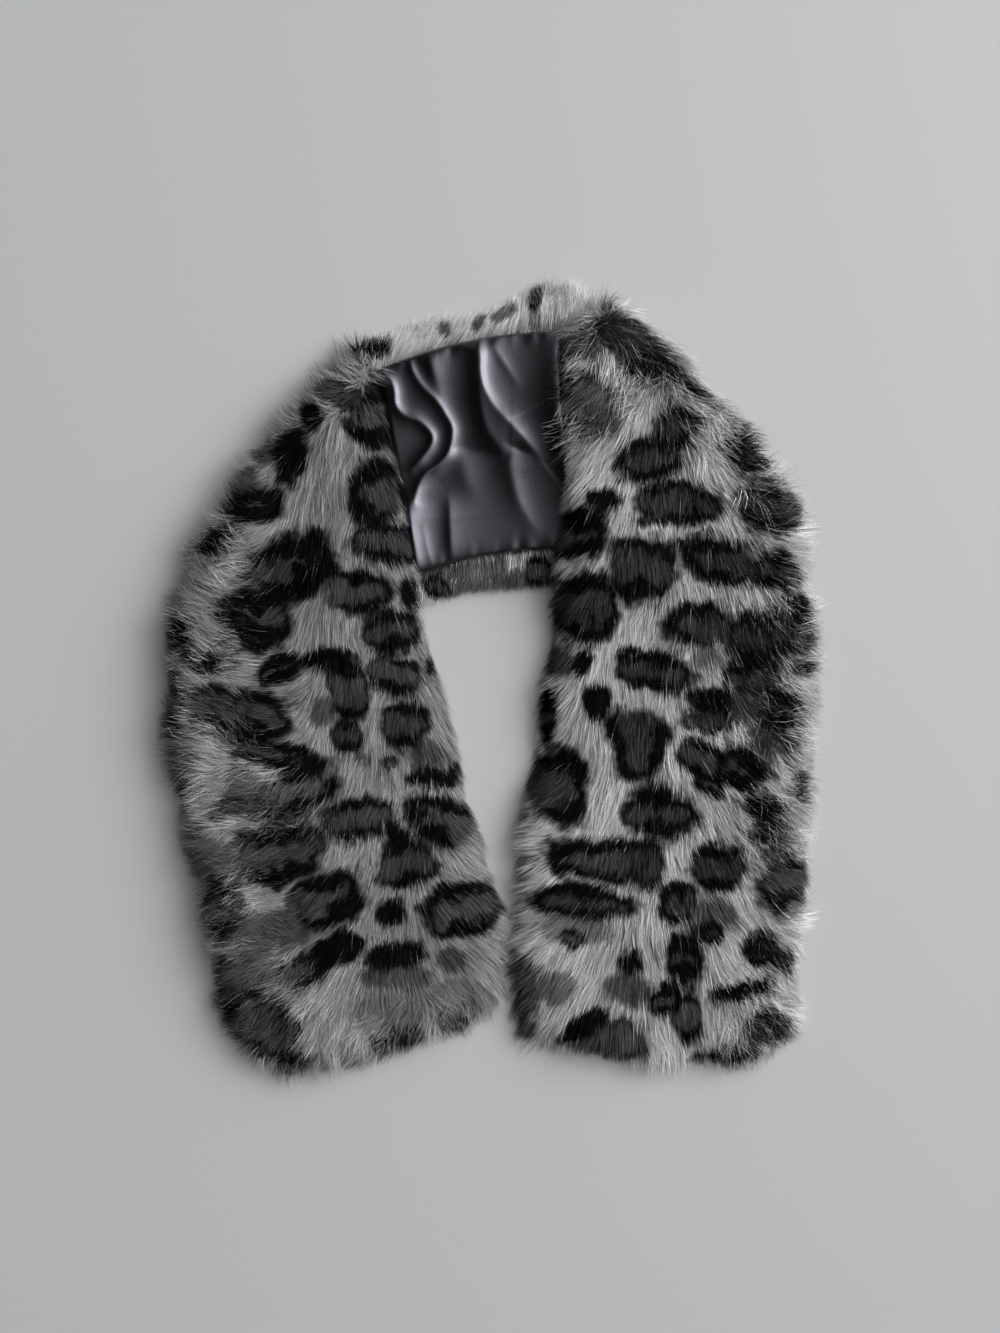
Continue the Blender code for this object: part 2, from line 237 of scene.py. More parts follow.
def marking_chart(markings):
    """The markings as an array in metres, with each turn as its cosine and sine."""
    rows = []
    for mark in (Marking(*row) for row in markings):
        turn = math.radians(mark.turn)
        rows.append((mark.x * MM, mark.y * MM, mark.half_width * MM, mark.half_height * MM,
                     math.cos(turn), math.sin(turn), mark.ring, *mark.heavy, mark.fill))
    return np.array(rows)


def place_in(points, mark):
    """Places in a marking's own frame, in which its rim is the unit circle."""
    x = points[..., 0] - mark[..., 0]
    y = points[..., 1] - mark[..., 1]
    across = (x * mark[..., 4] + y * mark[..., 5]) / mark[..., 2]
    up = (y * mark[..., 4] - x * mark[..., 5]) / mark[..., 3]
    return across, up


def nearest_markings(points, chart):
    """The chart rows of the two markings that lie nearest to each point."""
    across, up = place_in(points[:, None, :2], chart[None])
    order = np.argsort(np.hypot(across, up), axis=1)
    return chart[order[:, 0]], chart[order[:, 1]]


def print_weights(points, mark):
    """How black and how charcoal one marking makes each point."""
    across, up = place_in(points, mark)
    away = (np.abs(across) ** SQUARENESS + np.abs(up) ** SQUARENESS) ** (1.0 / SQUARENESS)
    away = np.maximum(away, 1e-6)
    side = (across * mark[..., 7] + up * mark[..., 8]) / away
    thick = mark[..., 6] * (RING_SIDES + RING_TOP * (up / away) ** 2 + RING_HEAVY * side)
    inside = np.clip((DYE_REACH - away) / DYE_FADE, 0.0, 1.0)
    heart = mark[..., 9] * np.minimum(HEART_FILL + (1.0 - HEART_FILL) * away, 1.0)
    return inside * np.clip((away - 1.0 + thick) / RING_FADE, 0.0, 1.0), inside * heart


def printed_colour(points, chart, dye, shade):
    """The print's colour at each point, times a shade."""
    first, second = nearest_markings(points, chart)
    weights = [print_weights(points, mark) for mark in (first, second)]
    black = np.maximum(weights[0][0], weights[1][0])[:, None]
    charcoal = np.maximum(weights[0][1], weights[1][1])[:, None]
    colour = np.array(dye.ground) * (1.0 - charcoal) + np.array(dye.charcoal) * charcoal
    return shade * (colour * (1.0 - black) + np.array(BLACK) * black)


def joined(tree, kind, *sources, **settings):
    """A new node with its inputs linked to sockets or set to plain values, in order."""
    node = tree.nodes.new(kind)
    for name, value in settings.items():
        setattr(node, name, value)
    for socket, source in zip(node.inputs, sources):
        if isinstance(source, bpy.types.NodeSocket):
            tree.links.new(source, socket)
        elif source is not None:
            socket.default_value = source
    return node


def sum_of(tree, operation, *sources):
    """What one sum makes of sockets and plain numbers."""
    return joined(tree, "ShaderNodeMath", *sources, operation=operation).outputs[0]


def fade(tree, value, start, end):
    """0 at start, 1 at end, and straight between."""
    node = joined(tree, "ShaderNodeMapRange", value, start, end, 0.0, 1.0, clamp=True)
    return node.outputs[0]


def marking_group():
    """One marking of the print, from a hair's place in its frame and the marking's style."""
    group = bpy.data.node_groups.new("one_marking", "ShaderNodeTree")
    for name in ("Place", "Style", "Warp"):
        group.interface.new_socket(name=name, in_out="INPUT", socket_type="NodeSocketVector")
    for name in ("Black", "Charcoal"):
        group.interface.new_socket(name=name, in_out="OUTPUT", socket_type="NodeSocketFloat")
    into = group.nodes.new("NodeGroupInput")
    place = joined(group, "ShaderNodeSeparateXYZ", into.outputs["Place"]).outputs
    style = joined(group, "ShaderNodeSeparateXYZ", into.outputs["Style"]).outputs
    warp = joined(group, "ShaderNodeSeparateXYZ", into.outputs["Warp"]).outputs
    across = sum_of(group, "ADD", place[0], warp[0])
    up = sum_of(group, "ADD", place[1], warp[1])
    powers = [sum_of(group, "POWER", sum_of(group, "ABSOLUTE", way), SQUARENESS)
              for way in (across, up)]
    away = sum_of(group, "POWER", sum_of(group, "ADD", *powers), 1.0 / SQUARENESS)
    up = sum_of(group, "DIVIDE", up, away)
    heavy = sum_of(group, "MULTIPLY", sum_of(group, "DIVIDE", across, away), style[0])
    heavy = sum_of(group, "MULTIPLY_ADD", up, style[1], heavy)
    top = sum_of(group, "MULTIPLY_ADD", sum_of(group, "MULTIPLY", up, up), RING_TOP, RING_SIDES)
    share = sum_of(group, "MULTIPLY_ADD", heavy, RING_HEAVY, top)
    growth = sum_of(group, "MULTIPLY_ADD", warp[2], RING_WAVES, RING_GROWTH)
    share = sum_of(group, "MULTIPLY", share, growth)
    thick = sum_of(group, "MULTIPLY", share, place[2])
    inside = fade(group, away, DYE_REACH, DYE_REACH - DYE_FADE)
    rim = fade(group, sum_of(group, "ADD", away, thick), 1.0, 1.0 + RING_FADE)
    out = group.nodes.new("NodeGroupOutput")
    group.links.new(sum_of(group, "MULTIPLY", inside, rim), out.inputs["Black"])
    heart = sum_of(group, "MULTIPLY_ADD", away, 1.0 - HEART_FILL, HEART_FILL)
    heart = sum_of(group, "MULTIPLY", sum_of(group, "MINIMUM", heart, 1.0), style[2])
    group.links.new(sum_of(group, "MULTIPLY", inside, heart), out.inputs["Charcoal"])
    return group


def tint(tree, first, second, share):
    """Two colours mixed by a share."""
    node = tree.nodes.new("ShaderNodeMix")
    node.data_type = "RGBA"
    for socket, source in (("A_Color", first), ("B_Color", second), ("Factor_Float", share)):
        into = next(s for s in node.inputs if s.identifier == socket)
        if isinstance(source, bpy.types.NodeSocket):
            tree.links.new(source, into)
        else:
            into.default_value = source
    return next(s for s in node.outputs if s.identifier == "Result_Color")


def waves(tree, place, scale, strength):
    """A soft uneven push, the same in every run, that is nothing on the whole."""
    lumps = joined(tree, "ShaderNodeTexNoise", place, noise_dimensions="3D")
    lumps.inputs["Scale"].default_value = scale
    lumps.inputs["Detail"].default_value = 1.0
    level = joined(tree, "ShaderNodeVectorMath", lumps.outputs["Color"], (0.5, 0.5, 0.5),
                   operation="SUBTRACT").outputs[0]
    push = joined(tree, "ShaderNodeVectorMath", level, operation="SCALE")
    push.inputs["Scale"].default_value = strength
    return push.outputs[0]


def new_finish(name):
    """A new material, with its nodes and its shader."""
    finish = bpy.data.materials.new(name)
    finish.use_nodes = True
    return finish, finish.node_tree, finish.node_tree.nodes["Principled BSDF"]


def hair_material(name, dye, root_shade, tip_shade):
    """Printed hair: the print by each hair's own place in it, darker at the root, times each
    hair's own shade, which holds the painted shade along the pelt's sides.
    """
    finish, tree, shader = new_finish(name)
    place = joined(tree, "ShaderNodeTexCoord").outputs["Object"]
    warp = joined(tree, "ShaderNodeVectorMath", waves(tree, place, *BROAD_WAVES),
                  waves(tree, place, *FINE_WAVES), operation="ADD").outputs[0]
    blacks = []
    charcoals = []
    for order in ("first", "second"):
        reads = [joined(tree, "ShaderNodeAttribute", attribute_name=f"{order}_{part}")
                 for part in ("place", "style")]
        mark = joined(tree, "ShaderNodeGroup", node_tree=one_marking)
        for socket, read in zip(mark.inputs, reads):
            tree.links.new(read.outputs["Vector"], socket)
        tree.links.new(warp, mark.inputs["Warp"])
        blacks.append(mark.outputs["Black"])
        charcoals.append(mark.outputs["Charcoal"])
    ground = tint(tree, (*dye.ground, 1.0), (*dye.charcoal, 1.0),
                  sum_of(tree, "MAXIMUM", *charcoals))
    printed = tint(tree, ground, (*BLACK, 1.0), sum_of(tree, "MAXIMUM", *blacks))
    hair = joined(tree, "ShaderNodeAttribute", attribute_name="hair")
    hair = joined(tree, "ShaderNodeSeparateXYZ", hair.outputs["Vector"]).outputs
    shade = joined(tree, "ShaderNodeMapRange", hair[0], 0.0, 1.0, root_shade, tip_shade).outputs[0]
    shaded = joined(tree, "ShaderNodeVectorMath", printed, operation="SCALE")
    tree.links.new(sum_of(tree, "MULTIPLY", shade, hair[1]), shaded.inputs["Scale"])
    tree.links.new(shaded.outputs[0], shader.inputs["Base Color"])
    shader.inputs["Roughness"].default_value = 0.6
    shader.inputs["Specular IOR Level"].default_value = 0.06
    return finish


one_marking = marking_group()

# The arms' pelts. Each end of the strip lies fur side up: a thin backing thick with short
# underfur, folded over at the neck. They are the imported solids, drawn in so that the long hair
# which stands on them comes out at the solids' own outline.
ARM_DRAW_IN = 9.0 * MM
ARM_DROP = 7.0 * MM
UNDERFUR_SHADE = 0.60     # the underfur lies in the long hair's shadow
LINED_BELOW = 0.8 * MM    # the strip's own satin is what lies on the floor
SATIN_COLOUR = (0.0040, 0.0024, 0.0026)
Pelt = namedtuple("Pelt", "piece chart dye")


def pelt_form(node, draw_in, drop):
    """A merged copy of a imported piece, drawn in from its sides and lowered."""
    form = bmesh.new()
    form.from_mesh(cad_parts[node].data)
    bmesh.ops.remove_doubles(form, verts=form.verts, dist=0.01 * MM)
    bmesh.ops.recalc_face_normals(form, faces=form.faces)
    bmesh.ops.subdivide_edges(form, edges=form.edges, cuts=1, use_grid_fill=True)
    form.normal_update()
    moves = {}
    for vert in form.verts:
        sideways = Vector((vert.normal.x, vert.normal.y, 0.0))
        moves[vert] = draw_in * sideways + Vector((0.0, 0.0, drop * max(vert.normal.z, 0.0)))
    for vert, move in moves.items():
        vert.co -= move
    bmesh.ops.smooth_vert(form, verts=form.verts, factor=0.5, use_axis_x=True, use_axis_y=True,
                          use_axis_z=True)
    return form


def fine_grain(tree, place, strength, depth):
    """Fine nap or weave, as a bump over the whole surface."""
    grain = joined(tree, "ShaderNodeTexNoise", place)
    grain.inputs["Scale"].default_value = 1400.0
    grain.inputs["Detail"].default_value = 3.0
    bump = tree.nodes.new("ShaderNodeBump")
    bump.inputs["Strength"].default_value = strength
    bump.inputs["Distance"].default_value = depth
    tree.links.new(grain.outputs["Fac"], bump.inputs["Height"])
    tree.links.new(bump.outputs["Normal"], tree.nodes["Principled BSDF"].inputs["Normal"])


def pelt_material(name):
    """Short dense underfur in the print's colours, darkened by painted shade, with a fine uneven
    nap.
    """
    finish, tree, shader = new_finish(name)
    colour = joined(tree, "ShaderNodeAttribute", attribute_name="underfur").outputs["Color"]
    tree.links.new(colour, shader.inputs["Base Color"])
    fine_grain(tree, joined(tree, "ShaderNodeTexCoord").outputs["Object"], 0.8, 0.001)
    shader.inputs["Roughness"].default_value = 0.9
    shader.inputs["Specular IOR Level"].default_value = 0.1
    return finish


def finished_mesh(name, form, finish):
    """A bmesh as a smooth mesh with its finish on."""
    mesh = bpy.data.meshes.new(name)
    form.to_mesh(mesh)
    form.free()
    mesh.shade_smooth()
    mesh.materials.append(finish)
    return mesh


def laid_out(name, data):
    """A new object in the scene."""
    piece = bpy.data.objects.new(name, data)
    bpy.context.scene.collection.objects.link(piece)
    return piece


def make_pelt(name, form, markings, dye):
    """A pelt as a piece of the scarf, its underfur dyed in the print of its markings and darkened
    by painted shade.
    """
    mesh = finished_mesh(name, form, underfur)
    chart = marking_chart(markings)
    places = np.array([vert.co for vert in mesh.vertices])
    colours = np.ones((len(places), 4))
    # the print darkened by painted shade, as the underfur lies in the long hair's shadow
    colours[:, :3] = printed_colour(places, chart, dye, UNDERFUR_SHADE)
    colours[places[:, 2] < LINED_BELOW, :3] = SATIN_COLOUR
    layer = mesh.color_attributes.new("underfur", "FLOAT_COLOR", "POINT")
    layer.data.foreach_set("color", colours.astype(np.float32).ravel())
    piece = laid_out(name, mesh)
    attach(piece, "root")
    return Pelt(piece, chart, dye)


underfur = pelt_material("underfur")
left_pelt = make_pelt("left_arm_pelt", pelt_form("left_arm_fur", ARM_DRAW_IN, ARM_DROP),
                      LEFT_MARKINGS, LEFT_DYE)
right_pelt = make_pelt("right_arm_pelt", pelt_form("right_arm_fur", ARM_DRAW_IN, ARM_DROP),
                       RIGHT_MARKINGS, RIGHT_DYE)
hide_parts("left_arm_fur")
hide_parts("right_arm_fur")

# The arms' hair. Soft wool stands thick on the pelt, and longer guard hairs lie over it, combed
# in tufts. The charts give the way it lies: x, y and a direction in degrees, 0 to the right and
# 90 up the page.
LEFT_LAY = (
    (-75, 206, 95), (-88, 192, 110), (-106, 168, 102), (-128, 148, 100), (-150, 126, 112),
    (-168, 92, 135), (-184, 55, 145), (-195, 10, 160), (-192, -40, 170), (-182, -80, 178),
    (-175, -125, -172), (-167, -170, -160), (-155, -210, -140), (-125, -232, -112),
    (-85, -226, -100), (-45, -215, -90), (-10, -203, -70), (-70, 187, -95), (-97, 148, -95),
    (-120, 134, -105), (-70, 157, -95), (-95, 120, -88), (-75, 112, -100), (-115, 98, -100),
    (-100, 88, -85), (-62, 82, -92), (-140, 105, 150), (-150, 78, 138), (-118, 66, -120),
    (-172, 40, 125), (-140, 36, 165), (-100, 32, -88), (-80, 52, -90), (-50, 60, -82),
    (-60, 30, -92), (-152, 14, 142), (-175, -5, 160), (-125, 8, 170), (-88, -5, -92),
    (-58, 3, -98), (-35, 5, -80), (-148, -20, 152), (-160, -48, 150), (-128, -46, 160),
    (-88, -35, -92), (-55, -28, -92), (-32, -30, -80), (-118, -66, -125), (-165, -72, 178),
    (-82, -62, -92), (-45, -62, -88), (-15, -65, -75), (-82, -84, -102), (-48, -88, -105),
    (-22, -90, -55), (-128, -104, 170), (-155, -105, 178), (-92, -108, -125), (-55, -110, -92),
    (-25, -112, -30), (-150, -135, -168), (-120, -140, -155), (-95, -130, -140), (-60, -140, -90),
    (-20, -135, -50), (2, -140, -15), (-150, -172, -152), (-118, -168, -142), (-92, -162, -118),
    (-60, -166, -95), (-22, -168, -60), (-120, -200, -140), (-92, -200, -118), (-62, -192, -102),
    (-35, -190, -88), (-8, -185, -50),
)
RIGHT_LAY = (
    (44, 230, 150), (55, 227, -160), (60, 213, -115), (68, 228, -22), (76, 212, -42),
    (95, 198, -38), (118, 183, -32), (48, 208, -175), (36, 200, 170), (36, 170, 175),
    (36, 130, -170), (58, 192, -145), (76, 190, -100), (48, 168, -150), (64, 160, -120),
    (82, 172, -105), (105, 172, -72), (130, 162, -52), (150, 148, 20),
    (168, 130, 15), (184, 105, -5), (194, 70, -10), (196, 30, -12), (195, -10, -22),
    (192, -60, -32), (188, -110, -45), (184, -160, -48), (180, -200, -50), (60, 135, -125),
    (45, 112, -130), (100, 140, -100), (125, 140, -75), (145, 122, -45), (68, 106, -100),
    (112, 105, -90), (140, 98, -70), (165, 100, -20), (48, 84, -130), (90, 66, -93),
    (112, 60, -88), (135, 70, -78), (152, 56, -70), (172, 60, -22), (45, 50, -125), (62, 40, -102),
    (90, 30, -95), (122, 32, -86), (155, 28, -55), (180, 20, -30), (38, 10, -150), (60, 5, -98),
    (98, 2, -90), (130, 5, -80), (158, 2, -52), (36, -30, -150), (62, -35, -96), (88, -38, -92),
    (118, -32, -72), (145, -32, -52), (170, -30, -45), (30, -65, -160), (50, -65, -122),
    (72, -70, -94), (100, -78, -85), (128, -72, -58), (155, -75, -50), (26, -95, -172),
    (50, -94, -155), (72, -92, -118), (95, -108, -95), (135, -110, -68), (165, -110, -50),
    (60, -110, -140), (30, -130, -165), (55, -132, -130), (88, -132, -95), (110, -138, -85),
    (140, -142, -60), (20, -160, -150), (50, -165, -110), (80, -168, -95), (102, -166, -80),
    (120, -170, -95), (150, -165, -58), (12, -192, -135), (40, -190, -115), (70, -192, -96),
    (100, -190, -78), (130, -195, -72), (158, -192, -48), (18, -218, -120), (50, -218, -100),
    (78, -222, -93), (108, -218, -86), (140, -218, -76), (165, -218, -55),
)
LAY_BLEND = 11.0 * MM     # how softly one way of the chart gives way to the next
Ruffle = namedtuple("Ruffle", "x y reach")    # where the hair is tousled and stands up more
LEFT_RUFFLES = (
    Ruffle(-160, 80, 48), Ruffle(-170, 25, 48), Ruffle(-165, -40, 52), Ruffle(-155, -100, 52),
    Ruffle(-145, -160, 52), Ruffle(-115, -205, 50), Ruffle(-125, -75, 40), Ruffle(-70, -212, 26),
    Ruffle(-35, -192, 28),
)
RIGHT_RUFFLES = (
    Ruffle(60, 225, 42), Ruffle(95, 195, 46), Ruffle(140, 160, 44), Ruffle(170, 110, 44),
    Ruffle(185, 50, 44), Ruffle(175, -15, 48), Ruffle(170, -80, 44), Ruffle(175, -150, 36),
    Ruffle(160, -210, 40), Ruffle(60, 165, 34),
)
RUFFLE_EDGE = 1.6         # how fast a ruffle comes to its full, from its rim in
Tousled = namedtuple("Tousled", "calm added")     # where hair lies calm, and what tousling adds
Coat = namedtuple("Coat", "hairs segments length rise width tuft gather seed")
WOOL = Coat(61000, 2, 15.0, 0.40, 0.42, 9, 0.42, 11)
GUARD = Coat(37000, 3, 24.0, 0.30, 0.36, 13, 0.55, 12)
# How the hair lies. Turns are in radians, and shares are of a coat's length, rise or width.
TURN_LUMPS = (21.0, 8.0)  # stretches of hair, and single locks, that turn aside together
STRETCH_TURN = Tousled(0.35, 0.55)
LOCK_TURN = Tousled(0.2, 0.6)
HAIR_TURN = 0.09
HAIR_TURN_SHARE = Tousled(1.0, 1.6)
HAIR_BEND = 0.10
HAIR_BEND_SHARE = Tousled(1.0, 2.4)
FALL_OUT = 0.6            # how far the hair falls outwards, and down, where the pelt slopes
FALL_DOWN = 0.35
LEAST_FIRM = 0.35         # how firmly it lies where ways part
LENGTHS = (0.78, 1.16)
LENGTH_LUMPS = 30.0
LENGTH_UNEVEN = 0.12
SHORT_AT_RIM = 0.30       # what it loses along the strip's edges
SHORT_AT_HEM = 0.25       # and again along the hem at the bottom of the page
RISE_SHARE = Tousled(0.85, 0.45)
RISE_AT_RIM = 0.5         # how much more it stands up along the edges
RISE_AT_PARTING = 0.5     # and where ways part
RISES = (0.7, 1.25)
STEEPEST = 0.8
ROOT_DEPTH = 1.0 * MM
LOWEST = 0.5 * MM
TALLEST = 46.0 * MM
TUFT_SPREAD = 0.25        # how much of its own place a hair keeps at its tuft's tip
TUFT_CURVE = 1.4          # how late along its length it joins the tuft
WIDTHS = (0.7, 1.3)
BLADE_TAPER = 2.2
BLADE_TWIST = 0.40
# How the hair takes the print. Combing carries the print along and aside, in millimetres.
TUFT_ALONG = Tousled(0.9, 2.9)
TUFT_ASIDE = Tousled(0.3, 1.4)
HAIR_ALONG = Tousled(1.5, 2.6)
HAIR_ASIDE = 0.6
PRINT_AT = 0.4            # a hair has the print of this place, from its last bend to its tip
WISPS = Tousled(0.012, 0.05)      # share of fine hairs that the print has missed
WISP_WIDTH = 0.7
UNDYED = 9.0              # so many radii from a marking that none of its dye is left
UNEVEN_FILL = 0.13        # how much less of the charcoal the lightest hairs took
# How much lighter or darker the hair is, as powers of e
HAIR_SHADE = 0.19
TUFT_SHADE = Tousled(0.08, 0.20)
SHADE_LUMPS = (34.0, 11.0)
BROAD_SHADE = 0.18
FINE_SHADE = 0.22
DARK_WISPS = 0.35
# painted shade along the rims: hair rooted where the pelt slopes steeply to its sides is darkened
SHADE_PAINTED_AT_RIM = 0.60


def blade_pattern(segments):
    """One hair as a flat blade: (across, along) of its corners, and its triangles."""
    form = bmesh.new()
    bmesh.ops.create_grid(form, x_segments=1, y_segments=segments, size=0.5)
    tips = [vert for vert in form.verts if vert.co.y > 0.49]
    bmesh.ops.pointmerge(form, verts=tips, merge_co=(0.0, 0.5, 0.0))
    bmesh.ops.triangulate(form, faces=form.faces)
    form.verts.ensure_lookup_table()
    form.verts.index_update()
    corners = np.array([(2.0 * vert.co.x, vert.co.y + 0.5) for vert in form.verts])
    faces = np.array([[vert.index for vert in face.verts] for face in form.faces])
    form.free()
    return corners, faces


def roots_on(piece, count, rng, wanted):
    """Random places on a pelt, with its normal there. wanted picks the faces by their middles."""
    mesh = piece.data
    mesh.calc_loop_triangles()
    triangles = np.array([tri.vertices[:] for tri in mesh.loop_triangles])
    places = np.array([vert.co for vert in mesh.vertices])
    normals = np.array([vert.normal for vert in mesh.vertices])
    corners = places[triangles]
    face_normals = np.cross(corners[:, 1] - corners[:, 0], corners[:, 2] - corners[:, 0])
    areas = np.linalg.norm(face_normals, axis=1)
    up = face_normals[:, 2] / np.maximum(areas, 1e-12)
    chance = areas * wanted(corners.mean(axis=1), up)
    picked = rng.choice(len(areas), size=count, p=chance / chance.sum())
    shares = rng.random((count, 2))
    shares = np.where(shares.sum(axis=1, keepdims=True) > 1.0, 1.0 - shares, shares)
    shares = np.column_stack((1.0 - shares.sum(axis=1), shares))[:, :, None]
    roots = (corners[picked] * shares).sum(axis=1)
    out = (normals[triangles[picked]] * shares).sum(axis=1)
    return roots, out / np.linalg.norm(out, axis=1, keepdims=True)


def lay_at(points, lay_chart):
    """The way the hair lies at each point, as an arrow that is shorter where ways part."""
    spots = np.array(lay_chart, dtype=float)
    gaps = points[:, None, :2] - spots[None, :, :2] * MM
    weight = 1.0 / ((gaps ** 2).sum(axis=2) + LAY_BLEND ** 2) ** 2
    ways = np.radians(spots[:, 2])
    blended = weight @ np.column_stack((np.cos(ways), np.sin(ways)))
    return blended / weight.sum(axis=1, keepdims=True)


def field(points, size, layer):
    """A soft uneven field over the points, from about -1 to 1. Layers differ."""
    return np.array([noise.noise(Vector((x / size, y / size, layer + 0.5)))
                     for x, y in points[:, :2] / MM])


def turned(ways, angle):
    cos, sin = np.cos(angle), np.sin(angle)
    x, y = ways.T
    return np.column_stack((x * cos - y * sin, x * sin + y * cos))


def unit(vectors):
    return vectors / np.maximum(np.linalg.norm(vectors, axis=-1, keepdims=True), 1e-9)


def ruffled(points, ruffles):
    """How tousled the hair is at each point, from 0 to 1."""
    spots = np.array(ruffles, dtype=float)
    gaps = np.linalg.norm(points[:, None, :2] / MM - spots[None, :, :2], axis=2)
    near = np.clip(RUFFLE_EDGE * (1.0 - gaps / spots[:, 2]), 0.0, 1.0).max(axis=1)
    return near * near * (3.0 - 2.0 * near)


def tousled(value, tousle):
    """A value of the hair's, by how tousled it is."""
    return value.calm + value.added * tousle


def comb(roots, out, lay_chart, tousle, coat, rng):
    """Each hair's line, root to tip, the way it lies, and the number of its tuft."""
    count = len(roots)
    ways = lay_at(roots, lay_chart)
    turn = tousled(STRETCH_TURN, tousle) * field(roots, TURN_LUMPS[0], 1)
    turn = turn + tousled(LOCK_TURN, tousle) * field(roots, TURN_LUMPS[1], 2)
    turn = turn + rng.normal(0.0, HAIR_TURN, count) * tousled(HAIR_TURN_SHARE, tousle)
    ways = turned(ways, turn)
    side_on = 1.0 - np.abs(out[:, 2])
    ways = ways + FALL_OUT * out[:, :2]
    lay = np.column_stack((ways, np.zeros(count)))
    lay[:, 2] -= FALL_DOWN * side_on
    firm = np.clip(np.linalg.norm(ways, axis=1), LEAST_FIRM, 1.0)
    lay = unit(lay - out * (lay * out).sum(axis=1, keepdims=True))
    length = coat.length * MM * rng.uniform(*LENGTHS, count)
    length *= 1.0 + LENGTH_UNEVEN * field(roots, LENGTH_LUMPS, 3)
    length *= 1.0 - SHORT_AT_RIM * side_on - SHORT_AT_HEM * np.clip(-out[:, 1], 0.0, 1.0)
    rise = tousled(RISE_SHARE, tousle) + RISE_AT_RIM * side_on + RISE_AT_PARTING * (1.0 - firm)
    rise = np.minimum(coat.rise * rise * rng.uniform(*RISES, count), STEEPEST)
    run = np.sqrt(1.0 - rise ** 2)
    along = np.linspace(0.0, 1.0, coat.segments + 1)[None, :, None]
    bend = rng.normal(0.0, HAIR_BEND, count) * tousled(HAIR_BEND_SHARE, tousle)
    bend = bend[:, None, None]
    sideways = np.cross(out, lay)[:, None]
    scale = length[:, None, None]
    lines = roots[:, None] - ROOT_DEPTH * out[:, None]
    lines = lines + scale * run[:, None, None] * lay[:, None] * (0.5 * along + 0.5 * along ** 2)
    lines = lines + scale * rise[:, None, None] * out[:, None] * (2.0 * along - along ** 2)
    lines = lines + scale * bend * sideways * along ** 2
    tuft = nearest_leader(roots, coat)
    led = lines[tuft] + TUFT_SPREAD * (roots - roots[tuft])[:, None]
    lines += (led - lines) * coat.gather * along ** TUFT_CURVE
    lines[:, :, 2] = np.clip(lines[:, :, 2], LOWEST, TALLEST)
    return lines, lay, tuft


def nearest_leader(roots, coat):
    """The number of the hair that leads each hair's tuft."""
    leaders = len(roots) // coat.tuft
    tree = kdtree.KDTree(leaders)
    for number in range(leaders):
        tree.insert(roots[number], number)
    tree.balance()
    return np.array([tree.find(root)[1] for root in roots])


def print_shift(lay, tuft, tousle, rng):
    """How far the combing has carried the print along and aside, tuft by tuft."""
    count = len(lay)
    aside = np.column_stack((-lay[:, 1], lay[:, 0]))
    tuft_along = rng.normal(0.0, 1.0, count)[tuft] * tousled(TUFT_ALONG, tousle)
    tuft_aside = rng.normal(0.0, 1.0, count)[tuft] * tousled(TUFT_ASIDE, tousle)
    along = tuft_along + rng.normal(0.0, 1.0, count) * tousled(HAIR_ALONG, tousle)
    to_side = tuft_aside + rng.normal(0.0, HAIR_ASIDE, count)
    return MM * (along[:, None] * lay[:, :2] + to_side[:, None] * aside)


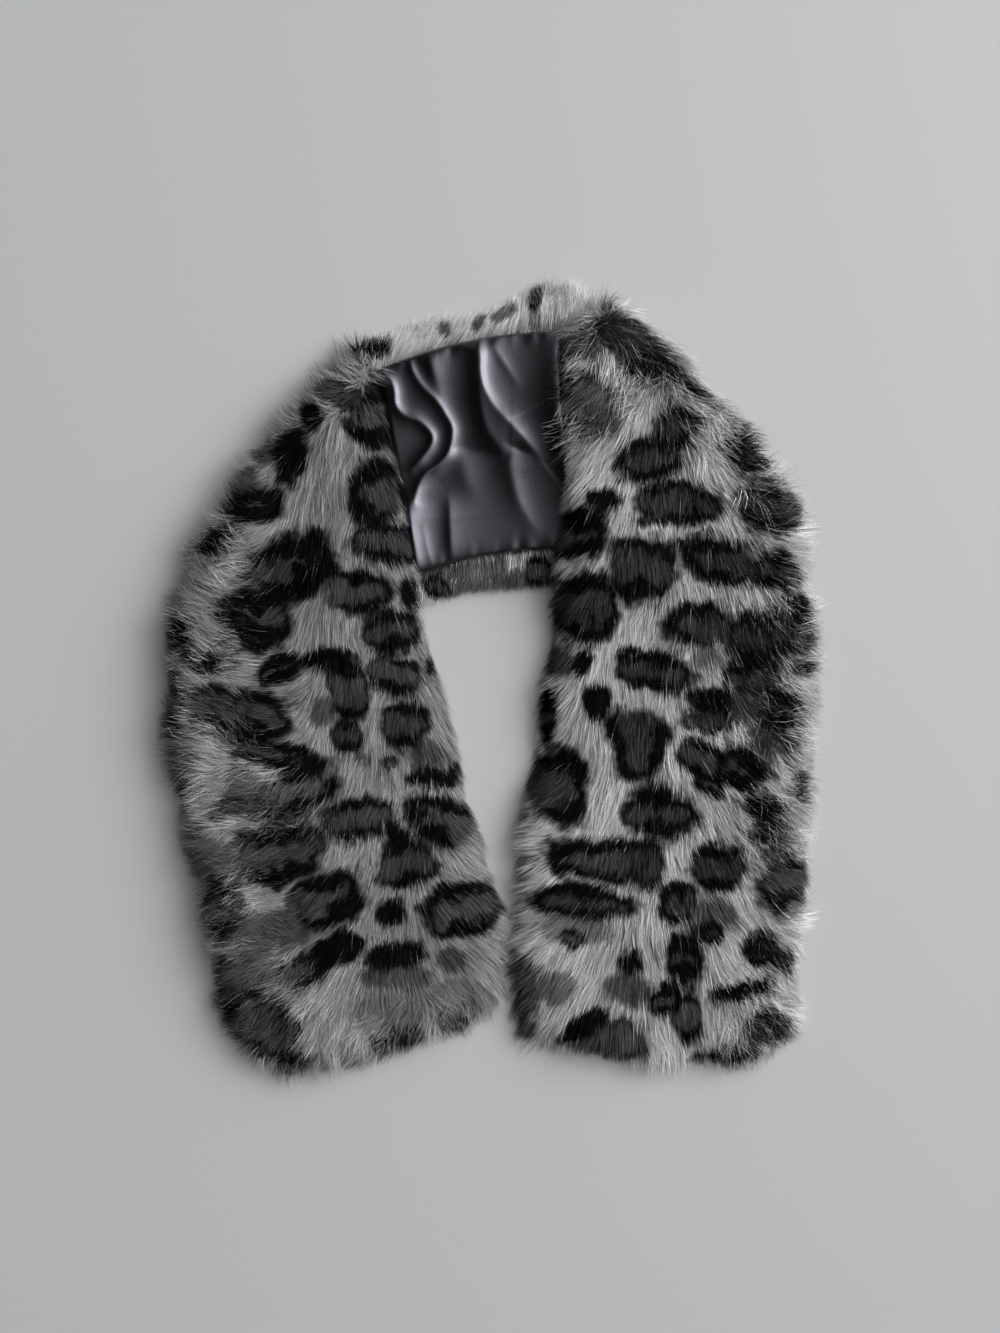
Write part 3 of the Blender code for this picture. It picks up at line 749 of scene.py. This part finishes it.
def stand_hair(name, pelt, charts, coat, wanted, finish):
    """Hair on a pelt as one mesh of tapered blades, laid out in arrays."""
    lay_chart, ruffles = charts
    blade_corners, blade_faces = blade_pattern(coat.segments)
    rng = np.random.default_rng(coat.seed)
    roots, out = roots_on(pelt.piece, coat.hairs, rng, wanted)
    tousle = ruffled(roots, ruffles)
    lines, lay, tuft = comb(roots, out, lay_chart, tousle, coat, rng)
    across, along = blade_corners.T
    row = np.rint(along * coat.segments).astype(int)
    course = unit(lines[:, -1] - lines[:, 0])
    flat = unit(np.cross(course, out))
    twist = rng.normal(0.0, BLADE_TWIST, len(roots))[:, None]
    flat = flat * np.cos(twist) + np.cross(course, flat) * np.sin(twist)
    wispy = rng.random(len(roots)) < tousled(WISPS, tousle)
    width = coat.width * MM * rng.uniform(*WIDTHS, len(roots)) * np.where(wispy, WISP_WIDTH, 1.0)
    half = 0.5 * width[:, None] * (1.0 - along ** BLADE_TAPER) * across
    places = lines[:, row] + half[:, :, None] * flat[:, None]

    shift = print_shift(lay, tuft, tousle, rng)
    seen = lines[:, -2, :2] * (1.0 - PRINT_AT) + lines[:, -1, :2] * PRINT_AT + shift
    marks = nearest_markings(seen, pelt.chart)
    mesh = bpy.data.meshes.new(name)
    corners = len(across)
    mesh.vertices.add(len(roots) * corners)
    mesh.vertices.foreach_set("co", places.astype(np.float32).ravel())
    faces = (blade_faces[None] + corners * np.arange(len(roots))[:, None, None]).reshape(-1, 3)
    mesh.loops.add(faces.size)
    mesh.loops.foreach_set("vertex_index", faces.astype(np.int32).ravel())
    mesh.polygons.add(len(faces))
    mesh.polygons.foreach_set("loop_start", np.arange(0, faces.size, 3, dtype=np.int32))
    mesh.update(calc_edges=True)
    mesh.shade_smooth()

    missed = UNDYED * wispy[:, None]
    filled = np.ones((len(roots), 1, 3))
    filled[:, 0, 2] -= UNEVEN_FILL * rng.random(len(roots)) ** 2
    for order, mark in zip(("first", "second"), marks):
        held = mark[:, None]
        over, up = place_in(places[:, :, :2] + shift[:, None], held)
        ring = np.broadcast_to(held[..., 6], over.shape)
        keep(mesh, f"{order}_place", np.stack((over + missed, up, ring), axis=-1))
        style = np.broadcast_to(held[..., 7:10], (*over.shape, 3)) * filled
        keep(mesh, f"{order}_style", style)
    own_shade = rng.normal(0.0, HAIR_SHADE, len(roots))
    own_shade += rng.normal(0.0, 1.0, len(roots))[tuft] * tousled(TUFT_SHADE, tousle)
    lumps = BROAD_SHADE * field(roots, SHADE_LUMPS[0], 5)
    lumps = lumps + FINE_SHADE * field(roots, SHADE_LUMPS[1], 6)
    # the last term paints shade on the hair along the pelt's steep sides
    own_shade += lumps - DARK_WISPS * wispy - SHADE_PAINTED_AT_RIM * (1.0 - np.abs(out[:, 2]))
    shade = np.exp(own_shade)[:, None]
    keep(mesh, "hair", np.stack(np.broadcast_arrays(along[None], shade, 0.0 * shade), axis=-1))
    low = places.reshape(-1, 3).min(axis=0)
    high = places.reshape(-1, 3).max(axis=0)
    spread = ((places.reshape(-1, 3) - low) / (high - low))[:, :2][faces.ravel()]
    mesh.uv_layers.new(name="OFBake").data.foreach_set("uv", spread.astype(np.float32).ravel())
    mesh.materials.append(finish)
    piece = laid_out(name, mesh)
    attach(piece, "root")
    return piece


def keep(mesh, name, values):
    """Stores a vector at every vertex, for the material to read."""
    layer = mesh.attributes.new(name, "FLOAT_VECTOR", "POINT")
    layer.data.foreach_set("vector", np.ascontiguousarray(values, dtype=np.float32).ravel())


WOOL_SHADES = (0.60, 0.95)    # at the root and at the tip
GUARD_SHADES = (0.50, 1.22)
ARM_TURNED_UNDER = 0.45   # how far a face may turn under before it is bare
ARM_THINNING = 0.3        # and over how much of that turn the hair thins out


def upper_faces(middles, up):
    """Faces of an arm's pelt that bear hair: all but the underside."""
    return np.clip((up + ARM_TURNED_UNDER) / ARM_THINNING, 0.0, 1.0)


for side, pelt, charts in (("left", left_pelt, (LEFT_LAY, LEFT_RUFFLES)),
                           ("right", right_pelt, (RIGHT_LAY, RIGHT_RUFFLES))):
    wool = stand_hair(f"{side}_arm_wool", pelt, charts, WOOL, upper_faces,
                      hair_material(f"{side}_wool", pelt.dye, *WOOL_SHADES))
    guard = stand_hair(f"{side}_arm_guard_hair", pelt, charts, GUARD, upper_faces,
                       hair_material(f"{side}_guard_hair", pelt.dye, *GUARD_SHADES))

# The middle's pelt. The strip lies fur side down between the two folds, pressed flat, so only
# the hair that sticks out past its two long seams is seen.
NECK_LAY = (
    (-80, 205, 110), (-60, 203, 70), (-40, 208, 55), (-10, 215, 55), (15, 226, 70), (40, 230, 95),
    (55, 232, 80), (-60, 50, -100), (-35, 60, -80), (-10, 62, -95), (15, 66, -85), (40, 66, -80),
)
NECK_RUFFLES = (Ruffle(-75, 205, 20), Ruffle(45, 235, 26))
NECK_COAT = Coat(16000, 3, 17.0, 0.30, 0.38, 12, 0.5, 13)
NECK_DRAW_IN = 7.0 * MM
NECK_DROP = 4.5 * MM
NECK_TURNED_UNDER = 0.7
NECK_THINNING = 0.4
NECK_BETWEEN = (-84.0, 56.0)      # x where it is free of the arms
SATIN_HALF = 65.7         # half the lining, seam to seam, measured up the page
UNDER_SEAM = 2.0          # how far in under a seam its hair begins
# The middle's centre line is an arch: its height, slope and bend where it crosses ARCH_X
ARCH_X = -1.28
ARCH_Y = 141.85
ARCH_SLOPE = 0.163
ARCH_BEND = -0.00189


def arch(x):
    """Height up the page of the middle's centre line, in millimetres."""
    step = x - ARCH_X
    return ARCH_Y + ARCH_SLOPE * step + ARCH_BEND * step * step


def past_seams(middles, up):
    """Faces of the middle's pelt that show past the lining's two seams."""
    x, y = middles[:, 0] / MM, middles[:, 1] / MM
    beyond = np.abs(y - arch(x)) > SATIN_HALF - UNDER_SEAM
    between = (x > NECK_BETWEEN[0]) & (x < NECK_BETWEEN[1])
    return beyond * between * np.clip((up + NECK_TURNED_UNDER) / NECK_THINNING, 0.0, 1.0)


neck_pelt = make_pelt("neck_pelt", pelt_form("neck_fur", NECK_DRAW_IN, NECK_DROP),
                      NECK_MARKINGS, NECK_DYE)
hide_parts("neck_fur")
neck_hair = stand_hair("neck_hair", neck_pelt, (NECK_LAY, NECK_RUFFLES), NECK_COAT, past_seams,
                       hair_material("neck_hair", NECK_DYE, *GUARD_SHADES))

# The lining. Smooth dark satin, sewn to the pelt along both long edges and loose between them. It
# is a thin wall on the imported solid's form, with the folds that run in from the seams where the
# strip turns. left and right are how far a fold's sides reach, for a line that runs down the page.
FoldPoint = namedtuple("FoldPoint", "x y height left right")
Fold = namedtuple("Fold", "crest points")     # crest is how round its top is


def fold(crest, *rows):
    """A fold from the rows of its points."""
    return Fold(crest, [FoldPoint(*row) for row in rows])


LINING_FOLDS = (
    fold(0.8, (-77, 190, 1.4, 4, 3), (-69, 187, 2.4, 4, 3.3), (-62, 182, 2.6, 4, 3.3),
         (-59, 175, 2.8, 4, 3.3), (-58, 166, 2.8, 4, 3.3), (-53, 160, 2.8, 4, 3.3),
         (-45, 157, 2.8, 4, 3.3), (-39, 152, 2.8, 4, 3.3), (-36, 147, 2.7, 4, 3.1),
         (-37, 141, 2.6, 4, 3), (-43, 133, 2.4, 4, 3), (-48, 128, 1.4, 4, 3)),
    fold(0.7, (-67, 189, 0.8, 2, 2.5), (-60, 193, 1.2, 2, 2.5), (-54, 196, 0.8, 2, 2.5)),
    fold(0.8, (-51, 200, 1.4, 4, 2), (-48, 187, 2.0, 4, 2.6), (-42, 177, 2.4, 5, 3.2),
         (-34, 169, 2.8, 5, 3.6), (-28, 160, 3.0, 5, 3.6), (-24, 151, 3.0, 5, 3.6),
         (-26, 138, 3.2, 5, 3.8), (-32, 130, 3.4, 5, 3.8), (-39, 125, 3.4, 5, 4.4),
         (-44, 118, 3.2, 5, 5), (-47, 108, 2.2, 5, 5)),
    fold(2.5, (-40, 206, 3.2, 3.5, 10), (-38, 196, 4.0, 4, 10), (-35, 185, 3.2, 4, 9),
         (-32, 176, 1.6, 5, 8), (-28, 168, 0.4, 5, 6)),
    fold(1.4, (-9, 206, 3.8, 8, 14), (-9, 190, 4.8, 9, 16), (-8, 176, 5.0, 9, 18),
         (-6, 162, 4.4, 8, 18), (-3, 151, 4.0, 10, 16), (3, 142, 2.8, 11, 13),
         (8, 135, 0.8, 10, 10)),
    fold(0.8, (-8, 205, 1.0, 3, 2.4), (-7, 196, 1.3, 3, 2.6), (-7, 186, 1.5, 3, 2.8),
         (-5, 176, 1.7, 3.5, 3.2), (1, 165, 2.6, 9, 5.5), (10, 155, 3.8, 16, 7.5),
         (20, 144, 3.4, 17, 7.5), (28, 134, 1.2, 12, 5)),
    fold(2.5, (-24, 141, -0.6, 5, 5), (-14, 139, -1.8, 5, 6), (-4, 137.5, -1.8, 5, 6),
         (6, 137, -0.6, 5, 5)),
    fold(1.0, (-19, 202, 0.8, 3, 3), (-13, 199, 1.2, 3, 3), (-8, 197, 0.6, 3, 3)),
    fold(1.2, (1, 201, 0.6, 3, 3), (7, 191, 0.9, 3, 3), (14, 180, 0.5, 4, 4)),
    fold(1.0, (9, 142.5, -0.5, 3, 3), (16, 139, -1.4, 3, 3.5), (24, 136, -0.6, 3, 3)),
    fold(2.5, (11, 135, 2.2, 7, 9), (11, 127, 3.0, 7, 9), (13, 117, 2.6, 7, 7),
         (16, 107, 2.0, 7, 6), (21, 98, 1.2, 7, 5), (27, 89, 0.5, 7, 5)),
    fold(4.0, (-18, 131, 1.4, 7, 8), (-16, 122, 1.7, 7, 8), (-12, 113, 0.7, 7, 8)),
    fold(2.0, (-51, 122, 0, 6, 9), (-51, 116, 0.5, 6, 10), (-50, 110, 1.9, 6, 11),
         (-50, 104, 4.2, 6, 12), (-50, 97, 5.9, 6, 12), (-49, 89, 5.9, 6, 9),
         (-47, 79, 5.0, 6, 8), (-45, 66, 5.0, 6, 8)),
    fold(0.7, (-41, 92, 0.3, 3, 3), (-39, 80, 0.5, 3, 3), (-36, 70, 0.5, 3, 3)),
    fold(1.2, (-26, 121, 0, 6, 6), (-26, 112, 0.4, 5, 7), (-25.5, 102, 1.8, 3.5, 11),
         (-25, 88, 2.3, 3.5, 12), (-24, 70, 2.3, 3.5, 12)),
    fold(3.0, (38, 208, 4.0, 16, 9), (38, 190, 6.5, 17, 9), (39, 174, 9.0, 16, 9),
         (40, 158, 10.5, 15, 9), (43, 143, 10.0, 14, 9), (46, 126, 7.0, 13, 9),
         (48, 105, 4.5, 12, 9), (48, 88, 2.5, 11, 9)),
)
FOLD_STEPS = 5            # steps of a fold's line from point to point
FOLD_TURNOVER = 1.5       # over this distance its left side's reach gives way to its right's
LINING_CELLS = (132, 142)
LINING_THICKNESS = 0.8 * MM
SEAM_HEIGHT = 10.4        # top of the satin at its seams
SATIN_SLACK = 2.6         # how far it stands up from there between them
SLACK_REACH = 20.0
SEAM_REACH = 9.0          # the seam holds a fold down over this distance
SEAM_SHARE = 0.45         # and leaves this share of its height
SEAM_DROP = 1.2           # how far the seam pulls the satin's edge down
SEAM_ROUND = 1.6          # and over what distance
DEEPEST = -1.0            # the pelt under the satin stops its troughs here
PUCKER_SIZE = 5.5         # the stitches gather the satin along its seams
PUCKER_HEIGHT = 0.8
PUCKER_REACH = 7.0
PUCKER_LAYER = 3.5
# The satin is tucked under the arms: x of its ends at its lower and its upper seam, and where it
# is free of the arms, from the bottom of the page up
LINING_LEFT_END = (-54.5, -74.5)
LINING_RIGHT_END = (44.5, 53.5)
FREE_ROWS = (64, 109, 151, 200, 241)
FREE_LEFT = (-50, -57, -65, -74, -84)
FREE_RIGHT = (48, 52, 52, 54, 70)
FREE_REACH = 6.0
SATIN_DULL = 0.86         # how unevenly it is dyed
SATIN_BRIGHT = 1.14


def rounded(depth, reach):
    """Height, from 0 to 1, of a rounded edge this far in from its rim."""
    left = 1.0 - np.clip(depth / reach, 0.0, 1.0)
    return np.sqrt(1.0 - left * left)


def smooth_line(points, steps):
    """A smooth curve (Catmull-Rom) through a fold's points, with all their values."""
    rows = np.array(points, dtype=float)
    rows = np.vstack((2.0 * rows[0] - rows[1], rows, 2.0 * rows[-1] - rows[-2]))
    made = []
    for number in range(1, len(rows) - 2):
        before, here, there, after = rows[number - 1:number + 3]
        for t in np.linspace(0.0, 1.0, steps, endpoint=False):
            made.append(0.5 * (2.0 * here + (there - before) * t
                               + (2.0 * before - 5.0 * here + 4.0 * there - after) * t * t
                               + (3.0 * here - before - 3.0 * there + after) * t ** 3))
    made.append(rows[-2])
    return np.array(made)


def fold_rise(x, y, crease):
    """What one fold or trough adds to the satin's height at each place."""
    line = smooth_line(crease.points, FOLD_STEPS)
    starts, steps = line[:-1], line[1:] - line[:-1]
    gap_x = x[:, None] - starts[None, :, 0]
    gap_y = y[:, None] - starts[None, :, 1]
    share = (gap_x * steps[:, 0] + gap_y * steps[:, 1]) / (steps[:, 0] ** 2 + steps[:, 1] ** 2)
    share = np.clip(share, 0.0, 1.0)
    off_x = gap_x - share * steps[:, 0]
    off_y = gap_y - share * steps[:, 1]
    near = np.argmin(off_x ** 2 + off_y ** 2, axis=1)
    rows = np.arange(len(x))
    off_x, off_y, share = off_x[rows, near], off_y[rows, near], share[rows, near]
    height, left, right = (starts[near, 2:] + share[:, None] * steps[near, 2:]).T
    to_right = steps[near, 0] * off_y - steps[near, 1] * off_x
    turnover = FOLD_TURNOVER * np.linalg.norm(steps[near, :2], axis=1)
    turn = np.clip(0.5 + to_right / turnover, 0.0, 1.0)
    reach = left + (right - left) * turn
    away = np.sqrt(off_x ** 2 + off_y ** 2 + crease.crest ** 2) - crease.crest
    return height * np.exp(-away / reach)


def satin_height(x, y):
    """Height of the satin's upper face at each place, all in millimetres."""
    seam = SATIN_HALF - np.abs(y - arch(x))
    lift = SATIN_SLACK * rounded(seam, SLACK_REACH)
    held = SEAM_SHARE + (1.0 - SEAM_SHARE) * rounded(seam, SEAM_REACH)
    lift = lift + held * sum(fold_rise(x, y, crease) for crease in LINING_FOLDS)
    puckers = np.array([noise.noise(Vector((px / PUCKER_SIZE, side, PUCKER_LAYER)))
                        for px, side in zip(x, np.sign(y - arch(x)))])
    lift = lift + PUCKER_HEIGHT * puckers * np.exp(-(seam / PUCKER_REACH) ** 2)
    from_left = x - np.interp(y, FREE_ROWS, FREE_LEFT)
    from_right = np.interp(y, FREE_ROWS, FREE_RIGHT) - x
    free = np.clip(np.minimum(from_left, from_right) / FREE_REACH, 0.0, 1.0)
    lift = lift * free * free * (3.0 - 2.0 * free)
    edge = rounded(seam, SEAM_ROUND)
    return SEAM_HEIGHT - SEAM_DROP + SEAM_DROP * edge + np.maximum(lift, DEEPEST)


def satin_form():
    """The satin's upper face as a fine grid, from end to end and from seam to seam."""
    form = bmesh.new()
    bmesh.ops.create_grid(form, x_segments=LINING_CELLS[0], y_segments=LINING_CELLS[1], size=0.5)
    across, up = np.array([(vert.co.x + 0.5, vert.co.y + 0.5) for vert in form.verts]).T
    left = LINING_LEFT_END[0] + (LINING_LEFT_END[1] - LINING_LEFT_END[0]) * up
    right = LINING_RIGHT_END[0] + (LINING_RIGHT_END[1] - LINING_RIGHT_END[0]) * up
    x = left + (right - left) * across
    y = arch(x) + SATIN_HALF * (2.0 * up - 1.0)
    for vert, place in zip(form.verts, np.column_stack((x, y, satin_height(x, y)))):
        vert.co = MM * Vector(place)
    return form


def satin_material():
    """Dark plum satin: a close smooth weave, so its bright lines are crisp and a little grainy."""
    finish, tree, shader = new_finish("lining_satin")
    place = joined(tree, "ShaderNodeTexCoord").outputs["Object"]
    cloud = joined(tree, "ShaderNodeTexNoise", place)
    cloud.inputs["Scale"].default_value = 60.0
    dull, bright = [tuple(share * part for part in SATIN_COLOUR) + (1.0,)
                    for share in (SATIN_DULL, SATIN_BRIGHT)]
    tree.links.new(tint(tree, dull, bright, cloud.outputs["Fac"]), shader.inputs["Base Color"])
    fine_grain(tree, place, 1.0, 0.00011)
    shader.inputs["Roughness"].default_value = 0.35
    shader.inputs["IOR"].default_value = 1.64
    shader.inputs["Specular IOR Level"].default_value = 1.0
    threads_run = joined(tree, "ShaderNodeCombineXYZ", -0.16, 0.99, 0.0).outputs[0]
    tree.links.new(threads_run, shader.inputs["Tangent"])
    shader.inputs["Anisotropic"].default_value = 0.75
    shader.inputs["Specular Tint"].default_value = (0.94, 0.88, 0.98, 1.0)
    return finish


lining = laid_out("satin_lining", finished_mesh("satin_lining", satin_form(), satin_material()))
wall = lining.modifiers.new("wall", "SOLIDIFY")
wall.thickness = LINING_THICKNESS
wall.offset = -1.0
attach(lining, "root")
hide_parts("neck_lining")

# The floor, the light and the camera, straight above as in the photograph.
FLOOR_DROP = 0.4 * MM     # how far it lies under the scarf
SKY_DIM = 0.02            # the sky's own light, what the window's glow adds, and the ceiling's
SKY_GLOW = 4.2
SKY_OVERHEAD = 0.22
GLOW_WAY = (0.67, 0.30, 0.68)     # the way to the window
GLOW_START = -0.3         # how far round from it the glow begins, as a cosine
GLOW_NARROWNESS = 10.0
floor_form = bmesh.new()
bmesh.ops.create_grid(floor_form, x_segments=1, y_segments=1, size=3.0)
bmesh.ops.translate(floor_form, verts=floor_form.verts, vec=(0.0, 0.0, -FLOOR_DROP))
paper, _, paper_shader = new_finish("pale_floor")
paper_shader.inputs["Base Color"].default_value = (0.52, 0.52, 0.505, 1.0)
paper_shader.inputs["Roughness"].default_value = 0.9
floor = laid_out("floor", finished_mesh("floor", floor_form, paper))


def soft_light(name, place, size, watts):
    """A square window's light, turned to the scarf."""
    lamp = bpy.data.lights.new(name, "AREA")
    lamp.shape = "RECTANGLE"
    lamp.size, lamp.size_y = size
    lamp.energy = watts
    light = laid_out(name, lamp)
    light.location = place
    light.rotation_euler = (-Vector(place)).to_track_quat("-Z", "Y").to_euler()


soft_light("window", (1.72, 0.78, 1.3), (1.2, 1.2), 30.0)
world = bpy.data.worlds.new("soft_room")
world.use_nodes = True
sky = world.node_tree
sky.nodes["Background"].inputs["Color"].default_value = (0.93, 0.96, 1.0, 1.0)
look = joined(sky, "ShaderNodeTexCoord").outputs["Generated"]
toward = joined(sky, "ShaderNodeVectorMath", look, GLOW_WAY, operation="DOT_PRODUCT")
glow = fade(sky, toward.outputs["Value"], GLOW_START, 1.0)
glow = sum_of(sky, "POWER", glow, GLOW_NARROWNESS)
overhead = fade(sky, joined(sky, "ShaderNodeSeparateXYZ", look).outputs[2], 0.8, 1.0)
strength = sum_of(sky, "MULTIPLY_ADD", glow, SKY_GLOW, SKY_DIM)
strength = sum_of(sky, "MULTIPLY_ADD", overhead, SKY_OVERHEAD, strength)
sky.links.new(strength, sky.nodes["Background"].inputs["Strength"])
bpy.context.scene.world = world
bpy.context.scene.view_settings.view_transform = "Standard"

eye = bpy.data.cameras.new("camera")
eye.sensor_fit = "VERTICAL"
eye.sensor_height = 24.0
eye.lens = 36.0
camera = laid_out("camera", eye)
camera.location = (0.0047, 0.00895, 1.215)
bpy.context.scene.camera = camera
